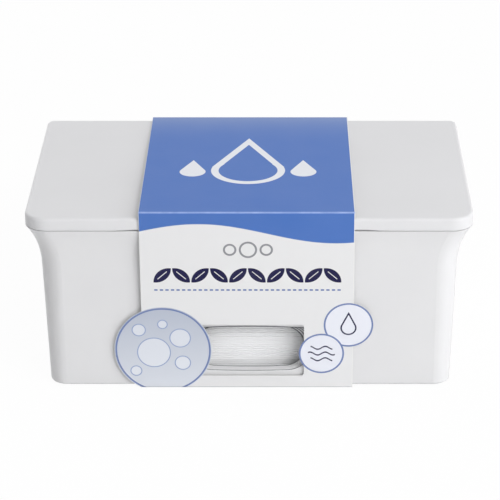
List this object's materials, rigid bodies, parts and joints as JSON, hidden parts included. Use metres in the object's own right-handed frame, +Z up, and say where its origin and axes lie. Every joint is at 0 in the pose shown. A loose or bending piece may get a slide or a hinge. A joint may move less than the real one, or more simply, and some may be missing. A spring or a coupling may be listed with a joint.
{
  "type": "wipes dispenser",
  "caption": "Flared plastic box with a rear-hinged lid, front window and weighted press plate that dispenses stacked wet wipes, in a slide-off printed card sleeve.",
  "frame": {"origin": "on the surface that the box stands on, under the middle of the case and lid", "axes": "+X to the right as seen from the front, along the long side; +Y to the back, towards the hinge; +Z up"},
  "size_m": [0.241, 0.149, 0.1073],
  "materials": {
    "case_plastic": "white, satin",
    "lid_plastic": "white, satin",
    "liner_plastic": "white, satin",
    "plate_plastic": "pale grey, satin",
    "clear_pane": "clear, glossy",
    "seal_rubber": "soft, pale grey",
    "foot_rubber": "matt grey",
    "pin_steel": "drawn wire",
    "weight_steel": "zinc plated",
    "wipes": "damp non-woven",
    "printed_card": "printed, lightly coated"
  },
  "bodies": {
    "case": {"case_shell": "case_plastic", "window_pane": "clear_pane", "foot_front_left": "foot_rubber", "foot_front_right": "foot_rubber", "foot_rear_left": "foot_rubber", "foot_rear_right": "foot_rubber", "hinge_pin_left": "pin_steel", "hinge_pin_right": "pin_steel", "wipes_stack": "wipes"},
    "lid": {"lid_shell": "lid_plastic", "lid_liner": "liner_plastic", "lid_seal": "seal_rubber"},
    "plate": {"plate_cover": "plate_plastic", "plate_tray": "plate_plastic", "plate_weight_front": "weight_steel", "plate_weight_rear": "weight_steel", "leading_wipe": "wipes"},
    "sleeve_lid_half": {"sleeve_front": "printed_card"},
    "sleeve_case_half": {"sleeve_back": "printed_card", "sleeve_hinge_strip": "printed_card"}
  },
  "joints": [
    {"name": "lid_hinge", "type": "hinge", "parent": "case", "child": "lid", "pos_m": [0, 0.0728, 0.09573], "axis": [-1, 0, 0], "range_deg": [0, 105], "deforming": ["sleeve_hinge_strip"]},
    {"name": "plate_slide", "type": "slide", "parent": "case", "child": "plate", "axis": [0, 0, -1], "range_m": [0, 0.055], "deforming": ["wipes_stack"]},
    {"name": "sleeve_slide", "type": "slide", "parent": "case", "child": "sleeve_case_half", "axis": [1, 0, 0], "range_m": [-0.2, 0.2]},
    {"name": "sleeve_slide_lid", "type": "slide", "parent": "lid", "child": "sleeve_lid_half", "axis": [1, 0, 0], "range_m": [-0.2, 0.2]}
  ],
  "couplings": [
    {"joint": "sleeve_slide_lid", "follows": "sleeve_slide", "ratio": 1}
  ]
}
